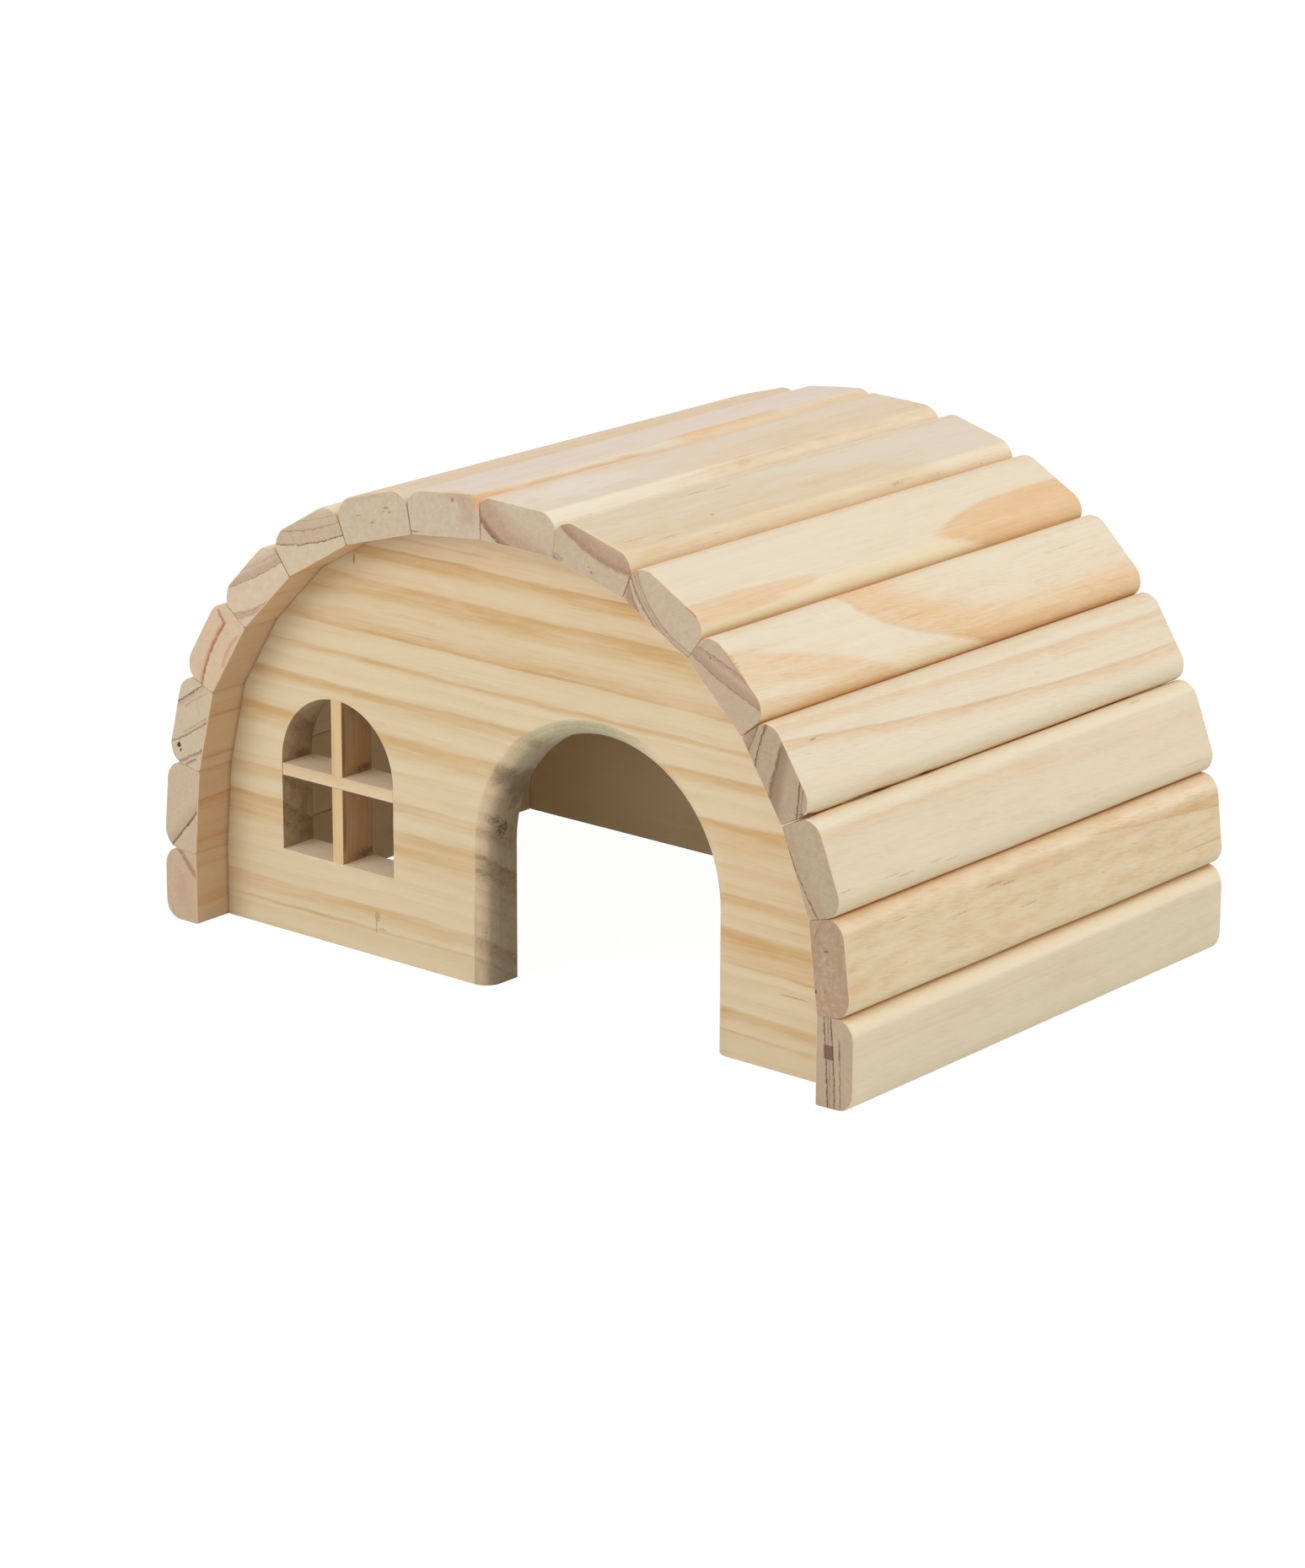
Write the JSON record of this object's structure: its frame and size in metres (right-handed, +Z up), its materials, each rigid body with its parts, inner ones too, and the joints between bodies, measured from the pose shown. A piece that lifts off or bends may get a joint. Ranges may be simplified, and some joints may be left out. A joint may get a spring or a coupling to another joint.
{
  "type": "wooden hamster house",
  "caption": "Arched wooden hide for a small pet: rounded slats glued over two end walls, with a round-headed door and a barred window.",
  "frame": {"origin": "middle of the footprint, on the floor", "axes": "+X across the front towards the door side, +Y from the front wall to the back wall, +Z up"},
  "size_m": [0.19, 0.13, 0.1099],
  "materials": {
    "slat_pine": "raw sanded pine, rounded edges, matte",
    "wall_pine": "raw sanded pine board, level grain, matte",
    "window_pine": "raw sawn pine strip, matte"
  },
  "bodies": {
    "root": {"slat_01": "slat_pine", "slat_02": "slat_pine", "slat_03": "slat_pine", "slat_04": "slat_pine", "slat_05": "slat_pine", "slat_06": "slat_pine", "slat_07": "slat_pine", "slat_08": "slat_pine", "slat_09": "slat_pine", "slat_10": "slat_pine", "slat_11": "slat_pine", "slat_12": "slat_pine", "slat_13": "slat_pine", "slat_14": "slat_pine", "slat_15": "slat_pine", "slat_16": "slat_pine", "front_wall": "wall_pine", "back_wall": "wall_pine", "window_mullion": "window_pine", "window_transom": "window_pine"}
  },
  "joints": []
}
